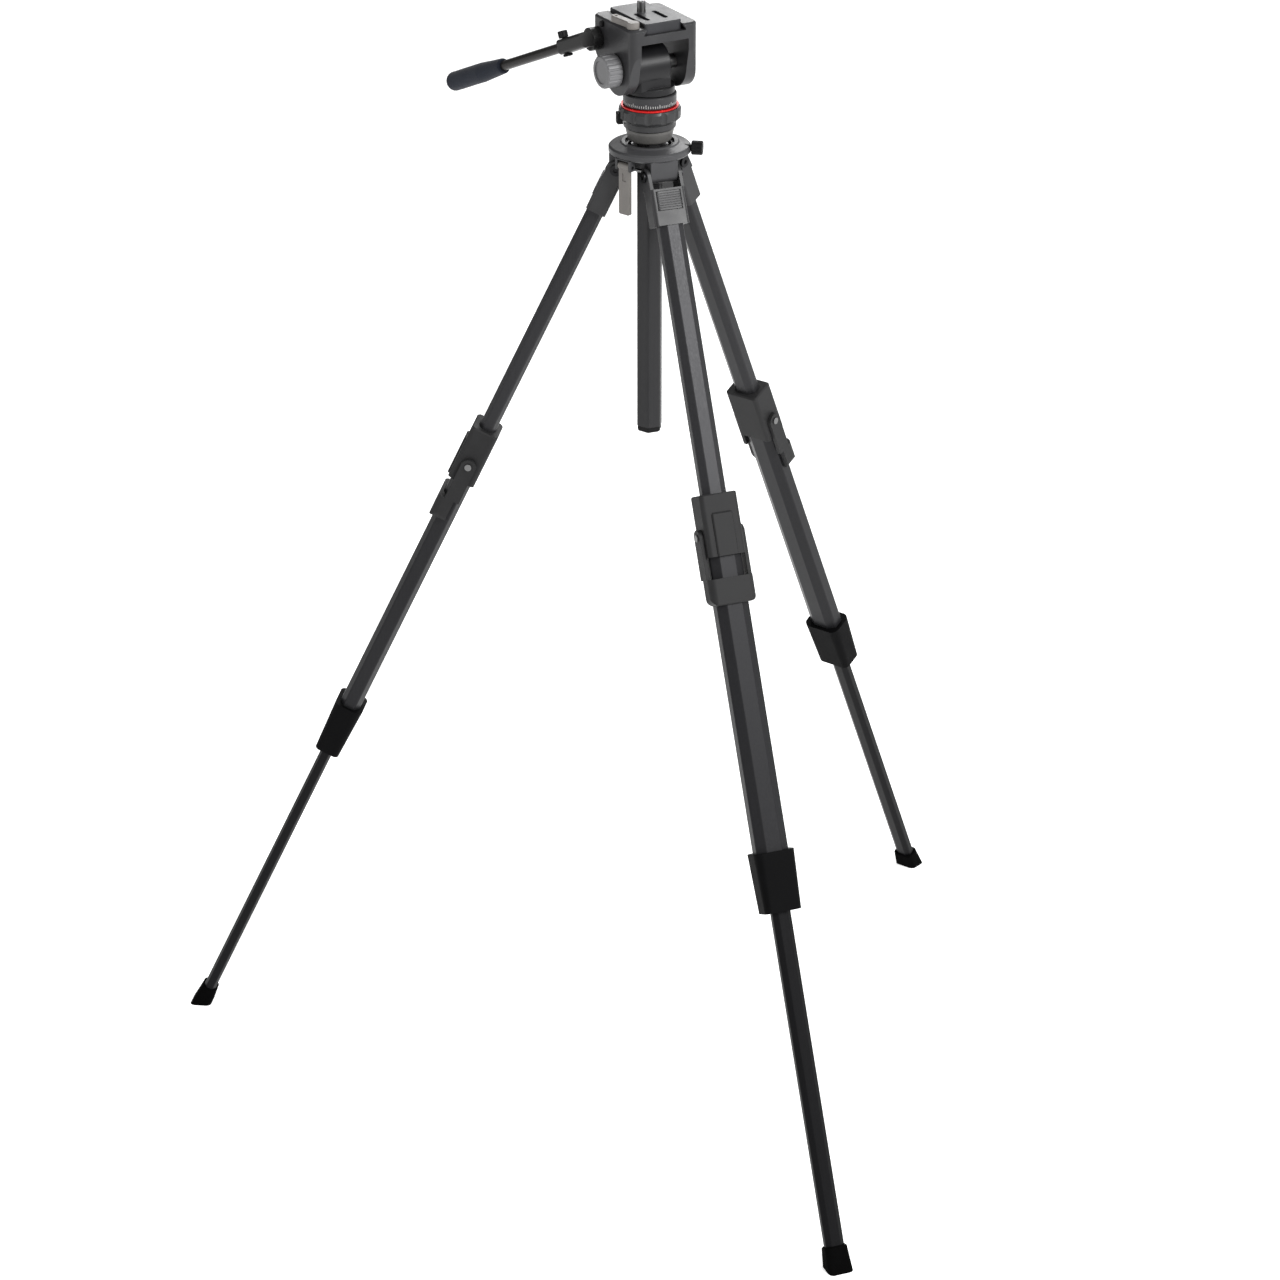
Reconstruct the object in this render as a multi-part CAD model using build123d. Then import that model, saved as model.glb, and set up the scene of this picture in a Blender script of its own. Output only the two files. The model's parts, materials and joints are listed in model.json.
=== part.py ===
from build123d import *
# Photo and video tripod with a two-axis fluid head.
# Frame: millimetres, +Z up, floor at z = 0, front leg towards -Y. The origin is on the floor, under the
# middle of the rectangle that the three feet fill, so the column axis stands a quarter of the foot circle's
# radius behind it. Each leg is modelled hanging straight down from its pivot, with X pointing away from the
# column and Y along the hub's rim, and is then spread and turned into place. The head is modelled with X
# along the lens and Y to the operator's left.
import os
from math import cos, radians, sin

# ---------------------------------------------------------------- fits and gaps
RUN = 0.05            # radial clearance of a shaft that turns in its bore
SLIDE = 0.3           # gap on each side of a piece that slides
GAP = 0.4             # gap between faces that pass each other
SPHERE_GAP = 0.3      # gap round the levelling ball
PAST = 1.0            # how far a cut runs past the face it opens
FAR = 200.0           # longer than any local piece that it cuts

# ---------------------------------------------------------------- legs
LEG_AZIMUTHS = {"front": 270.0, "left": 150.0, "right": 30.0}
LEG_SPREAD = 25.24            # degrees from vertical at the first stop
# flat-sided oval tube sections: width along the rim, depth away from the column
LOWER_TUBE = (22.7, 14.6)
UPPER_TUBE_EXTRA = (6.3, 5.4)     # how much bigger the upper tube is than the lower one
MID_TUBE_EXTRA = (10.0, 5.0)      # how much bigger the middle tube is than the upper one
BEVEL_SHARE = (0.26, 0.225)       # corner bevel's share of a section's width and depth
SECTION_ROUNDING = 3.0
LEG_WALL = 1.5
UPPER_TUBE_LENGTH = 408.0
MID_TUBE_LENGTH = 443.5
LOWER_TUBE_LENGTH = 474.5
UPPER_OVERLAP = 91.5          # how far the upper tube reaches below the clamp's top
STOP_GAP = 0.5
STOP_BAND = 12.0              # end stop on the lower tube
BAND_INSET = 0.3              # gap round the upper tube's glide and the lower tube's stop

# leg bracket, from the pivot down
BRACKET_SIDE_WALL = 6.0       # round the upper tube
BRACKET_FRONT_WALL = 1.5
BRACKET_BACK_WALL = 2.5
BRACKET_ROUNDING = 4.0
SLEEVE_LENGTH = 14.0          # bracket's grip on the tube
CHEEK_RADIUS = 10.0
CHEEK_THICKNESS = 4.1
CHEEK_SLOT = 7.5              # hub tongue to the floor of the slot between the cheeks
TONGUE_RADIUS = 8.5
PIVOT_BOLT_RADIUS = 4.0
BOLT_HEAD_RADIUS = 6.5
BOLT_HEAD = 2.4
BOLT_SOCKET_RADIUS = 3.0
BOLT_SOCKET = 1.4
TAB_LEDGE = 3.0               # wall over and under the leg angle tab
TAB_SHOULDER = 1.5            # how much narrower the tab is than the hub's tongue, each side
TAB_HEIGHT = 21.0
TAB_PROUD = 1.0
TAB_TRAVEL = 4.0
TAB_HELD = 8.5                # length of tab still inside the bracket when it is pulled out
TAB_SPRING_SPACE = 4.5
TAB_CORNER = 2.0
TAB_GRIP_RIBS = 7
TAB_GROOVE = (1.0, 0.8)       # depth across the face, and height

# leg clamp
CLAMP_SIDE_WALL = 3.0         # round the middle tube
CLAMP_FRONT_WALL = 4.5
CLAMP_BACK_WALL = 3.5
CLAMP_LIP = 16.0              # bush that guides the upper tube
CLAMP_LENGTH = 70.0
CLAMP_ROUNDING = 5.0
CLAMP_BREAK = 1.5
LEVER_PIVOT = 46.5            # clamp top to the lever's pin
ARM_THICKNESS = 4.5
ARM_RADIUS = 9.0
LEVER_LENGTH = 78.0           # pin to the band's lower edge
LEVER_CORNER = 9.0            # rounding of the stirrup's lower corners, seen from the front
LEVER_NOSE = 8.0              # rounding of the band's front corners
LEVER_BREAK = 1.2
BAND_HEIGHT = 30.0
BAND_WALL = 4.2
BAND_REACH = 3.0              # how far the band reaches past the tube's middle, towards the column
BAND_CLEARANCE = 0.6
LATCH_WIDTH = 25.0
LATCH_TOP = 21.0
LATCH_PROUD = 2.2
LATCH_CORNER = 2.0
LATCH_BREAK = 1.8
CLAMP_PIN_RADIUS = 2.5
CLAMP_PIN_HEAD = 4.0
CLAMP_PIN_HEAD_HEIGHT = 1.0

# collar at the middle tube's lower end
COLLAR_WALL = 2.5             # round the middle tube, at the collar's lower end
COLLAR_FLARE = 2.5
COLLAR_LENGTH = 68.0
COLLAR_LIP = 13.0
COLLAR_ROUNDING = 7.0

# rubber foot
FOOT_HEIGHT = 26.0
FOOT_WALL = 2.2               # round the lower tube, at the foot's top
FOOT_SPREAD = (4.0, 7.0)      # how much wider and deeper the foot is lower down
FOOT_BELOW_TUBE = 12.0
FOOT_ROUNDING = 6.0
FOOT_BREAK = 1.5

# ---------------------------------------------------------------- hub
PIVOT_CLEARANCE = 6.3         # hub boss to the leg pivots
PIVOT_DROP = 17.0             # hub disc's underside to the leg pivots
HUB_OVERHANG = 11.0           # leg pivots to the disc's rim
HUB_THICKNESS = 13.0
HUB_EDGE = 4.0
HUB_CROWN = 13.0              # rim to the disc's raised middle
HUB_CROWN_BREAK = 1.5
HUB_UNDERCUT = 2.0
HUB_DISH_DEPTH = 3.5          # recess that the bowl tips into
HUB_DISH_CLEARANCE = 3.2
HUB_BOSS_WALL = 4.7           # round the levelling ball's seat
HUB_BOSS_DEPTH = 11.5
BUBBLE_RADIUS = 4.5
BUBBLE_INSET = 11.3           # hub's rim to the bubble's middle
BUBBLE_AZIMUTH = 90.0
BUBBLE_DEPTH = 6.0
BUBBLE_PROUD = 0.2
BUBBLE_ROUNDING = 0.8

# levelling half ball
BALL_WALL = 10.5              # column's flats to the ball's equator
BALL_DROP = 3.0               # hub disc's underside to the ball's centre
BALL_TOP = 12.0
BALL_BOTTOM = 17.0
CLAMP_RING_WALL = 2.6
CLAMP_RING_TOP = 12.6
CLAMP_RING_BOTTOM = 15.8

# levelling lock lever
LEVEL_LEVER_AZIMUTH = 207.0
LEVEL_LEVER_INSET = 4.5       # hub's rim to the lever's pin
LEVEL_LEVER_WIDTH = 15.5
LEVEL_LEVER_THICKNESS = 4.0
LEVEL_LEVER_LENGTH = 56.5
LEVEL_LEVER_PIN_DROP = 7.0
LEVEL_LEVER_BARREL = 4.2
LEVEL_LEVER_PIN = 2.0
LEVEL_LEVER_CORNER = 2.0
LEVEL_LEVER_RECESS = (9.0, 5.0, 0.8)      # height, width and depth of the dent near its top
LEVEL_LEVER_RECESS_DROP = 13.0
LEVEL_EAR = 3.0

# column lock knob
KNOB_AZIMUTH = 330.0
KNOB_RADIUS = 8.0
KNOB_LENGTH = 12.5
KNOB_SHAFT = 3.5
KNOB_STANDOFF = 1.0
KNOB_HEIGHT = 6.5             # above the hub disc's underside
KNOB_SOCKET = 12.0
KNOB_FLUTES = 10
KNOB_FLUTE_RADIUS = 1.2
KNOB_BREAK = 0.8
FLUTE_OVERHANG = 0.4          # share of a flute's radius that its centre lies outside the rim

# ---------------------------------------------------------------- centre column
COLUMN_WIDTH = 27.0           # across the flats of its six-sided section
COLUMN_ROUNDING = 3.5
COLUMN_WALL = 2.0
COLUMN_LENGTH = 354.0
COLUMN_SOCKET = 11.0          # column's seat in the bowl
END_CAP_HEIGHT = 7.0
END_CAP_LIP = 0.6
END_CAP_PLUG = 10.0
END_CAP_BREAK = 1.5
BOWL_GAP = 1.8                # hub top to bowl
BOWL_HEIGHT = 14.2
BOWL_WALL = 11.0              # column's flats to the bowl's lower edge
BOWL_FLARE = 2.5
BOWL_RIM = 3.0
BOWL_BREAK = 1.5

# ---------------------------------------------------------------- quick-release base
QR_HEIGHT = 25.0
QR_CORE_DIAMETER = 48.0
QR_BORE = 8.0
LOCK_RING_FOOT = 5.5          # core to the ring's narrow lower part
LOCK_RING_RIM = 11.0          # core to the ring's widest part
LOCK_RING_WAIST = 8.0         # height of its narrow lower part
LOCK_RING_RISE = 5.0          # height of the slope above it
LOCK_RING_BREAK = 1.5
SCALLOP_COUNT = 12
SCALLOP_RADIUS = 6.0
SCALLOP_DEPTH = 1.8
RED_RING_INSET = 2.7          # lock ring's rim to the red ring's
RED_RING_WALL = 4.0           # how much wider the red ring's hole is than the bore
RED_RING_HEIGHT = 2.0
BUTTON_AZIMUTH = 170.0
BUTTON_WIDTH = 9.0
BUTTON_HEIGHT = 13.0
BUTTON_DEPTH = 7.0
BUTTON_PROUD = 3.2
BUTTON_TRAVEL = 2.0
BUTTON_ROUNDING = 1.5
NECK_DIAMETER = 60.0
NECK_HEIGHT = 13.7
NECK_BEVEL = 1.0
NECK_STUD_GAP = 0.1
NECK_STUD_LENGTH = 16.0
PAN_PIN_RADIUS = 10.0
PAN_PIN_DEPTH = 10.0
PAN_KNOB_AZIMUTH = 60.0
PAN_KNOB_RADIUS = 6.0
PAN_KNOB_LENGTH = 11.0
PAN_KNOB_SHAFT = 2.8
PAN_KNOB_STANDOFF = 5.0
PAN_KNOB_SOCKET = 10.0
PAN_KNOB_FLUTES = 8
SMALL_FLUTE_RADIUS = 1.0

# ---------------------------------------------------------------- fluid head
HEAD_AZIMUTH = 277.9          # way the lens points
LOBE_CLEARANCE = 2.0          # neck's top to the cradle's lobes
DRUM_RADIUS = 25.0
DRUM_LENGTH = 43.6
DRUM_BREAK = 1.5
PEDESTAL_SIDE_GAP = 2.0       # pedestal's rim to the cradle's walls, which pass outside it
PEDESTAL_HEIGHT = 9.0
PEDESTAL_BREAK = 1.0
PEDESTAL_BLOCK = 44.0
PEDESTAL_BLOCK_OVERHANG = 4.0     # how far its corners reach past the round pedestal
TILT_SHAFT_RADIUS = 8.0
SHAFT_END_WALL = 1.0          # cradle left standing over the shaft's ends
CRADLE_SIDE = 17.0            # camera plate's edge to the cradle's side
CRADLE_WALL = 13.0
CRADLE_FRONT = 34.0
CRADLE_BACK = 54.0
CRADLE_LOBE_WALL = 4.0        # drum to the lobe's rim
CRADLE_LOBE_BACK = (0.82, 0.57)   # where the back edge meets the lobe: shares of its radius, back and down
CRADLE_LOBE_FRONT = (0.95, 0.3)   # the same for the front edge
CRADLE_BACK_DROP = 18.0       # height of the wall's back edge over the tilt axis
CRADLE_FRONT_DROP = 20.0
PLATFORM_GAP = 9.0            # drum to the platform's underside
PLATFORM_THICKNESS = 10.0
PLATFORM_CORNER = 9.0
RAIL_HEIGHT = 7.5
RAIL_BEVEL = 2.0
TILT_KNOB_RADIUS = 18.5
TILT_KNOB_LENGTH = 19.0
TILT_KNOB_FLUTES = 18
TILT_KNOB_FLUTE_RADIUS = 1.6
TILT_KNOB_BREAK = 1.5
TILT_KNOB_DISH = 1.2
TILT_KNOB_RIM = 5.2           # knob's rim round its dished face
TILT_LEVER_BOSS = 10.0
TILT_LEVER_LENGTH = 34.0
TILT_LEVER_WIDTH = 9.0
TILT_LEVER_THICKNESS = 6.0
TILT_LEVER_REST = 200.0       # degrees, lever's rest direction about the tilt axis
LEVER_END_SHARE = 0.45        # lever's end rounding as a share of its width
LEVER_EDGE_BREAK = 0.8

# camera plate and what holds it
PLATE_HALF_WIDTH = 26.0
PLATE_SIDE_INSET = 3.0        # how much its upper part is narrower, each side
PLATE_LENGTH = 80.0
PLATE_MIDDLE = -10.0          # along the lens, from the tilt axis
PLATE_HEIGHT = 11.7
PLATE_EDGE = 1.5              # upright edge under the dovetail's slope
PLATE_DOVETAIL = 5.5
PLATE_CORNER = 8.0
PLATE_BREAK = 0.8
PLATE_SLOT = 6.0
PLATE_SLOT_LENGTH = 30.0
PLATE_SLOT_DEPTH = 3.0
PLATE_SLOT_PLACE = 12.0       # ahead of the plate's middle
SCREW_RADIUS = 4.7625         # 3/8 inch camera screw
SCREW_THREAD = 0.8625         # depth of its thread, which the captive neck lacks
SCREW_LENGTH = 12.0
SCREW_PLACE = -19.0
SCREW_HEAD_RADIUS = 9.0
SCREW_HEAD = 3.5
SCREW_DRIVE = (1.6, 1.2)      # width and depth of the coin slot in its head
SCREW_TIP_BEVEL = 1.0
LOCK_LEVER_PLACE = 22.0       # along the lens, from the tilt axis
LOCK_LEVER_INSET = 9.0        # cradle's side to the lever's pin
LOCK_LEVER_BOSS = 7.0
LOCK_LEVER_TAIL = 38.0
LOCK_LEVER_THICKNESS = 7.0
LOCK_LEVER_WIDTH = 9.0
LOCK_LEVER_BEND = 6.0         # degrees between the lever and the platform's edge
LOCK_LEVER_PIN = 3.0
LOCK_LEVER_PIN_DEPTH = 8.0
LOCK_LEVER_HOLE = 2.2
LOCK_LEVER_HOLE_INSET = 6.0
SAFETY_BUTTON_RADIUS = 3.5
SAFETY_BUTTON_PLACE = -30.0
SAFETY_BUTTON_RISE = 1.0      # above the channel's floor
SAFETY_BUTTON_PROUD = 3.0
SAFETY_BUTTON_DEPTH = 6.0
SAFETY_BUTTON_TRAVEL = 2.5
SAFETY_BUTTON_ROUNDING = 1.0

# pan bar
ROSETTE_PLACE = (-40.0, 26.0)     # along the lens and up, from the tilt axis
ROSETTE_RADIUS = 13.0
ROSETTE_DEPTH = 12.0
ROSETTE_BREAK = 0.6
ROSETTE_TEETH = 24
ROSETTE_TOOTH = 0.6
BAR_OFFSET = 17.0             # cradle's side to the bar's axis
BAR_YAW = 8.0                 # degrees outwards from straight back
BAR_DROP = 23.5               # degrees below level
BAR_RADIUS = 5.75
BAR_START = 8.0
BAR_END = 268.0
BAR_BLOCK = 17.0
BAR_BLOCK_BACK = 12.0
BAR_BLOCK_LENGTH = 35.0
BAR_BLOCK_ROUNDING = 4.0
BAR_BLOCK_WALL = 3.0
GRIP_LENGTH = 114.0
GRIP_PAST_BAR = 12.0          # foam past the bar's end
GRIP_NECK_WALL = 3.25
GRIP_WALL = 5.75
GRIP_LIP = (1.5, 2.0)         # bevel at the grip's front end
GRIP_TAPER = 45.0
GRIP_NOSE = 8.0
BAR_KNOB_PLACE = 26.0
BAR_KNOB_SHAFT = 2.5
BAR_KNOB_RADIUS = 5.5
BAR_KNOB_LENGTH = 8.0
BAR_KNOB_FOOT = 3.0
BAR_KNOB_FLUTES = 8

# ---------------------------------------------------------------- levels that follow from the sizes above
def tube_size(below, extra):
    """Width and depth of a tube that is bigger than the one below it."""
    return (below[0] + extra[0], below[1] + extra[1])


LOWER_SECTION = LOWER_TUBE
UPPER_SECTION = tube_size(LOWER_TUBE, UPPER_TUBE_EXTRA)
MID_SECTION = tube_size(UPPER_SECTION, MID_TUBE_EXTRA)

bracket_width = UPPER_SECTION[0] + 2 * BRACKET_SIDE_WALL
bracket_outward = UPPER_SECTION[1] / 2 + BRACKET_FRONT_WALL
bracket_inward = UPPER_SECTION[1] / 2 + BRACKET_BACK_WALL
tongue_width = bracket_width - 2 * (CHEEK_THICKNESS + GAP)
tab_width = tongue_width - 2 * TAB_SHOULDER
slot_floor = TONGUE_RADIUS + CHEEK_SLOT
tab_top = slot_floor + TAB_LEDGE
tab_bottom = tab_top + TAB_HEIGHT
tab_depth = TAB_PROUD + TAB_TRAVEL + TAB_HELD
tube_seat = tab_bottom + TAB_LEDGE
bracket_length = tube_seat + SLEEVE_LENGTH

clamp_width = MID_SECTION[0] + 2 * CLAMP_SIDE_WALL
clamp_outward = MID_SECTION[1] / 2 + CLAMP_FRONT_WALL
clamp_inward = MID_SECTION[1] / 2 + CLAMP_BACK_WALL
arm_inner = clamp_width / 2 + GAP
arm_outer = arm_inner + ARM_THICKNESS

upper_bottom = tube_seat + UPPER_TUBE_LENGTH
clamp_top = upper_bottom - UPPER_OVERLAP
mid_top = clamp_top + CLAMP_LIP
mid_bottom = mid_top + MID_TUBE_LENGTH
collar_bottom = mid_bottom + COLLAR_LIP
collar_top = collar_bottom - COLLAR_LENGTH
lower_top = collar_top - STOP_GAP - STOP_BAND
lower_bottom = lower_top + LOWER_TUBE_LENGTH
leg_length = lower_bottom + FOOT_BELOW_TUBE

ball_radius = COLUMN_WIDTH / 2 + BALL_WALL
ball_seat = ball_radius + SPHERE_GAP
boss_radius = ball_seat + HUB_BOSS_WALL
pivot_radius = boss_radius + PIVOT_CLEARANCE
hub_radius = pivot_radius + HUB_OVERHANG
crown_radius = hub_radius - HUB_CROWN
bubble_orbit = hub_radius - BUBBLE_INSET
level_lever_orbit = hub_radius - LEVEL_LEVER_INSET
bowl_bottom_radius = COLUMN_WIDTH / 2 + BOWL_WALL
bowl_top_radius = bowl_bottom_radius + BOWL_FLARE
dish_radius = bowl_bottom_radius + HUB_DISH_CLEARANCE

core_radius = QR_CORE_DIAMETER / 2
ring_foot = core_radius + LOCK_RING_FOOT
ring_rim = core_radius + LOCK_RING_RIM
red_ring_radius = ring_rim - RED_RING_INSET

cradle_half = PLATE_HALF_WIDTH + CRADLE_SIDE
cradle_inner = cradle_half - CRADLE_WALL
cradle_lobe = DRUM_RADIUS + CRADLE_LOBE_WALL
pedestal_radius = cradle_inner - PEDESTAL_SIDE_GAP
drum_right = cradle_inner - GAP
drum_left = DRUM_LENGTH - drum_right
tilt_axis_height = cradle_lobe + LOBE_CLEARANCE
platform_under = DRUM_RADIUS + PLATFORM_GAP
plate_top_half = PLATE_HALF_WIDTH - PLATE_SIDE_INSET
screw_neck = SCREW_RADIUS - SCREW_THREAD
lock_lever_y = LOCK_LEVER_INSET - cradle_half

pivot_height = leg_length * cos(radians(LEG_SPREAD))
foot_radius = pivot_radius + leg_length * sin(radians(LEG_SPREAD))
disc_under = pivot_height + PIVOT_DROP
hub_top = disc_under + HUB_THICKNESS
ball_height = disc_under - BALL_DROP
bowl_bottom = hub_top + BOWL_GAP
bowl_top = bowl_bottom + BOWL_HEIGHT
qr_top = bowl_top + QR_HEIGHT + SLIDE
neck_bottom = qr_top + RED_RING_HEIGHT
neck_top = neck_bottom + NECK_HEIGHT
tilt_height = neck_top + tilt_axis_height
channel_floor = platform_under + PLATFORM_THICKNESS
rail_top = channel_floor + RAIL_HEIGHT
plate_bottom = channel_floor + SLIDE
plate_top = plate_bottom + PLATE_HEIGHT
bar_knob_y = BAR_RADIUS + BAR_KNOB_SHAFT + GAP
grip_end = BAR_END + GRIP_PAST_BAR
grip_start = grip_end - GRIP_LENGTH

FROM_COLUMN = Pos(0, foot_radius / 4, 0)
HEAD = FROM_COLUMN * Pos(0, 0, tilt_height) * Rot(0, 0, HEAD_AZIMUTH)


# ---------------------------------------------------------------- small helpers
def section(size, grow=0.0):
    """Flat-sided oval of a leg tube, grown or shrunk evenly all round."""
    width, depth = size
    y, x = width / 2, depth / 2
    corner = [(x, y - width * BEVEL_SHARE[0]), (x - depth * BEVEL_SHARE[1], y)]
    points = corner
    points = points + [(-px, py) for px, py in reversed(corner)]
    points = points + [(-px, -py) for px, py in corner]
    points = points + [(px, -py) for px, py in reversed(corner)]
    outline = Polygon(*points, align=None)
    outline = fillet(outline.vertices(), SECTION_ROUNDING)
    if grow:
        outline = offset(outline, amount=grow)
    return outline


def prism(outline, top, bottom):
    """Extrude an outline down the leg, from one distance below the pivot to another."""
    return Pos(0, 0, -bottom) * extrude(outline, bottom - top)


def block(x0, x1, y0, y1, z0, z1):
    return Pos((x0 + x1) / 2, (y0 + y1) / 2, (z0 + z1) / 2) * Box(x1 - x0, y1 - y0, z1 - z0)


def rod(radius, z0, z1):
    return Pos(0, 0, (z0 + z1) / 2) * Cylinder(radius, z1 - z0)


def along_x(shape):
    """Lay a shape that stands on Z so that it points along +X."""
    return Rot(0, 90, 0) * shape


def along_y(shape):
    """Lay a shape that stands on Z so that it points along +Y."""
    return Rot(-90, 0, 0) * shape


def lathe(points):
    """Turn a closed outline of (radius, height) points about Z."""
    outline = Plane.XZ * Polygon(*points, align=None)
    return revolve(outline, Axis.Z)


def fluted_knob(radius, length, flutes, flute_radius, bevel=KNOB_BREAK):
    """Knob that stands on Z = 0, with finger flutes round its rim."""
    body = rod(radius, 0, length)
    body = chamfer(body.edges().filter_by(GeomType.CIRCLE), bevel)
    cutter = rod(flute_radius, -PAST, length + PAST)
    for turn in PolarLocations(radius + flute_radius * FLUTE_OVERHANG, flutes):
        body -= turn * cutter
    return body


def radial(azimuth, height):
    """Frame on the column axis whose X points along an azimuth at a height."""
    return FROM_COLUMN * Pos(0, 0, height) * Rot(0, 0, azimuth)


# ---------------------------------------------------------------- leg parts, hanging from the pivot
def between(outward, inward, width, rounding):
    """Rounded rectangle that reaches further out from the tube's middle than in, or the other way."""
    return Pos((outward - inward) / 2, 0) * RectangleRounded(outward + inward, width, rounding)


def leg_bracket():
    outline = between(bracket_outward, bracket_inward, bracket_width, BRACKET_ROUNDING)
    sleeve = prism(outline, slot_floor - PAST, bracket_length)
    side = Polygon((-CHEEK_RADIUS, 0), (CHEEK_RADIUS, 0), (bracket_outward, -slot_floor),
                   (-bracket_inward, -slot_floor), align=None)
    side += Circle(CHEEK_RADIUS)
    head = extrude(Plane.XZ * side, bracket_width / 2, both=True)
    half = tongue_width / 2 + GAP
    slot = block(-FAR, FAR, -half, half, -slot_floor, FAR)
    back = bracket_outward + TAB_PROUD - tab_depth - SLIDE - TAB_SPRING_SPACE
    half = tab_width / 2 + SLIDE
    pocket = block(back, FAR, -half, half, -tab_bottom - SLIDE, -tab_top + SLIDE)
    bore = along_y(rod(PIVOT_BOLT_RADIUS + RUN, -bracket_width, bracket_width))
    body = sleeve + head - slot - pocket - bore
    return body - prism(section(UPPER_SECTION), tube_seat, bracket_length + PAST)


def angle_tab():
    """Spring-loaded tab that frees the leg to swing wider."""
    face = bracket_outward + TAB_PROUD
    tab = block(face - tab_depth, face, -tab_width / 2, tab_width / 2, -tab_bottom, -tab_top)
    tab = fillet(tab.edges().filter_by(Axis.Z).sort_by(Axis.X)[-2:], TAB_CORNER)
    for row in range(TAB_GRIP_RIBS):
        z = -tab_top - TAB_HEIGHT * (row + 1) / (TAB_GRIP_RIBS + 1)
        tab -= Pos(face, 0, z) * Box(TAB_GROOVE[0], tab_width + PAST, TAB_GROOVE[1])
    return tab


def upper_tube():
    glide_top = mid_top + STOP_GAP
    tube = prism(section(UPPER_SECTION), tube_seat, upper_bottom)
    tube += prism(section(MID_SECTION, -LEG_WALL - BAND_INSET), glide_top, upper_bottom)
    return tube - prism(section(UPPER_SECTION, -LEG_WALL), tube_seat - PAST, upper_bottom + PAST)


def clamp_body():
    bottom = clamp_top + CLAMP_LENGTH
    body = prism(between(clamp_outward, clamp_inward, clamp_width, CLAMP_ROUNDING), clamp_top, bottom)
    body = chamfer(body.faces().sort_by(Axis.Z)[-1].edges(), CLAMP_BREAK)
    latch = block(clamp_outward - PAST, clamp_outward + LATCH_PROUD, -LATCH_WIDTH / 2, LATCH_WIDTH / 2,
                  -bottom, -clamp_top - LATCH_TOP)
    latch = fillet(latch.edges().filter_by(Axis.Z).sort_by(Axis.X)[-2:], LATCH_CORNER)
    body += chamfer(latch.faces().sort_by(Axis.Z)[-1].edges().sort_by(Axis.X)[-1], LATCH_BREAK)
    body -= prism(section(MID_SECTION), mid_top, bottom + PAST)
    body -= prism(section(UPPER_SECTION, SLIDE), clamp_top - PAST, mid_top + PAST)
    for side in (-1, 1):
        body -= clamp_pin(side, 0)
    return body


def clamp_pin(side, head=CLAMP_PIN_HEAD_HEIGHT):
    """Headed stub pin in one side of the clamp, clear of the tube inside."""
    outer = arm_outer + GAP
    pin = rod(CLAMP_PIN_RADIUS, MID_SECTION[0] / 2, outer)
    if head:
        pin += rod(CLAMP_PIN_HEAD, outer, outer + head)
    return Pos(0, 0, -clamp_top - LEVER_PIVOT) * Rot(-90 * side, 0, 0) * pin


def clamp_pins():
    return Compound(children=[clamp_pin(side) for side in (-1, 1)])


def clamp_lever():
    """Stirrup: two arms on the stub pins and a band round the outer half of the middle tube."""
    pin_z = -clamp_top - LEVER_PIVOT
    end = pin_z - LEVER_LENGTH
    side = Circle(ARM_RADIUS)
    side += Pos(0, -LEVER_LENGTH / 2) * Rectangle(2 * ARM_RADIUS, LEVER_LENGTH)
    side -= Circle(CLAMP_PIN_RADIUS + RUN)
    arms = extrude(Pos(0, 0, pin_z) * (Plane.XZ * side), arm_outer, both=True)
    arms -= block(-FAR, FAR, -arm_inner, arm_inner, end - PAST, pin_z + 2 * ARM_RADIUS)
    front = MID_SECTION[1] / 2 + BAND_CLEARANCE + BAND_WALL
    outline = Pos((front - BAND_REACH) / 2, 0) * Rectangle(front + BAND_REACH, 2 * arm_outer)
    outline = fillet(outline.vertices().sort_by(Axis.X)[-2:], LEVER_NOSE)
    band = prism(outline, -end - BAND_HEIGHT, -end)
    band = chamfer(band.faces().sort_by(Axis.Z)[0].edges().sort_by(Axis.X)[-1], LEVER_BREAK)
    band -= prism(section(MID_SECTION, BAND_CLEARANCE), -end - BAND_HEIGHT - PAST, -end + PAST)
    back = block(-FAR, -BAND_REACH, -FAR, FAR, end - PAST, end + BAND_HEIGHT)
    height = LEVER_LENGTH + 2 * ARM_RADIUS
    face = Rectangle(2 * arm_outer, height)
    face = fillet(face.vertices().sort_by(Axis.Y)[:2], LEVER_CORNER)
    front_view = Pos(-FAR, 0, end + height / 2) * extrude(Plane.YZ * face, 2 * FAR)
    return ((arms - back) + band) & front_view


def mid_tube():
    tube = prism(section(MID_SECTION), mid_top, mid_bottom)
    return tube - prism(section(MID_SECTION, -LEG_WALL), mid_top - PAST, mid_bottom + PAST)


def lower_collar():
    """End fitting that sleeves the middle tube and guides the lower one over its whole length."""
    width, depth = (size + 2 * COLLAR_WALL for size in MID_SECTION)
    bottom_outline = RectangleRounded(depth, width, COLLAR_ROUNDING)
    top_outline = offset(bottom_outline, amount=COLLAR_FLARE)
    body = loft([Pos(0, 0, -collar_bottom) * bottom_outline, Pos(0, 0, -collar_top) * top_outline])
    ring = prism(section(MID_SECTION), collar_top - PAST, mid_bottom)
    ring -= prism(section(MID_SECTION, -LEG_WALL), collar_top - 2 * PAST, mid_bottom + PAST)
    body -= ring
    return body - prism(section(LOWER_SECTION, SLIDE), collar_top - PAST, collar_bottom + PAST)


def lower_tube():
    tube = prism(section(LOWER_SECTION), lower_top, lower_bottom)
    tube += prism(section(UPPER_SECTION, -LEG_WALL - BAND_INSET), lower_top, lower_top + STOP_BAND)
    return tube - prism(section(LOWER_SECTION, -LEG_WALL), lower_top - PAST, lower_bottom + PAST)


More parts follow.
